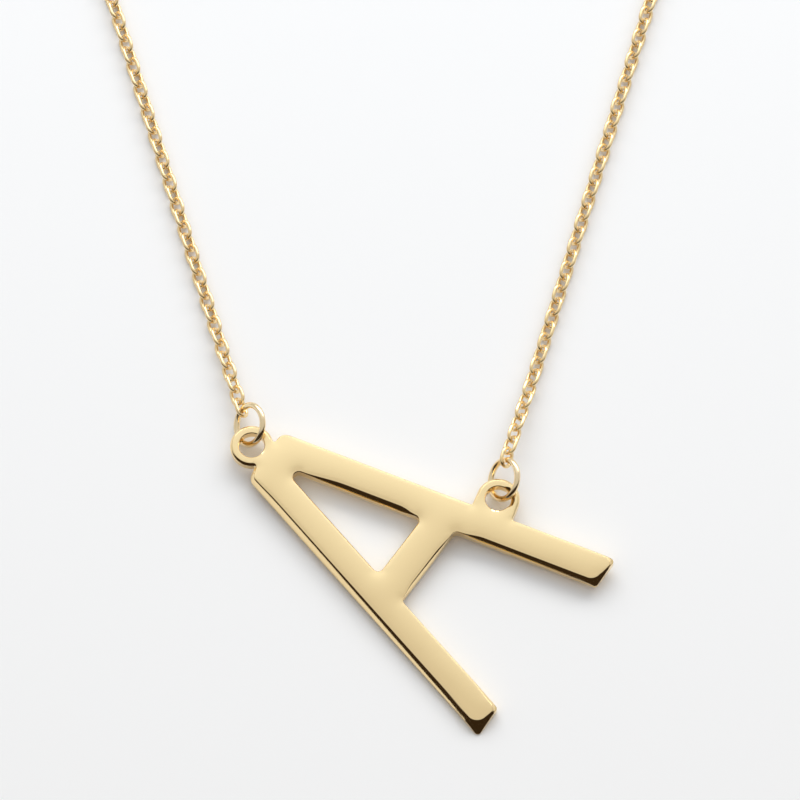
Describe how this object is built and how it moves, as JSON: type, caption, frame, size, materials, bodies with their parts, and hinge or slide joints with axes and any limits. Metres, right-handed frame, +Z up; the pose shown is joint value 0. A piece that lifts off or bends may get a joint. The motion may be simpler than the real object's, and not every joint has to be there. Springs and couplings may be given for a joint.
{
  "type": "initial pendant necklace",
  "caption": "Fine gold cable-chain necklace with a large sideways block letter A hung by two jump rings, lying flat in a closed loop.",
  "frame": {"origin": "middle of the necklace's outer box, on the surface that it lies on", "axes": "+X to the wearer's left as seen from the front, +Y from the letter towards the clasp, +Z up from the surface"},
  "size_m": [0.0912, 0.1935, 0.0034],
  "materials": {
    "letter": "polished pale gold plating",
    "rings": "polished pale gold plating",
    "chain": "bright gold plating",
    "clasp": "polished pale gold plating"
  },
  "bodies": {
    "root": {"letter": "letter", "jump_ring_left": "rings", "jump_ring_right": "rings", "chain_left": "chain", "chain_right": "chain", "back_chain_left": "chain", "back_chain_right": "chain", "clasp": "clasp", "end_ring": "rings"}
  },
  "joints": []
}
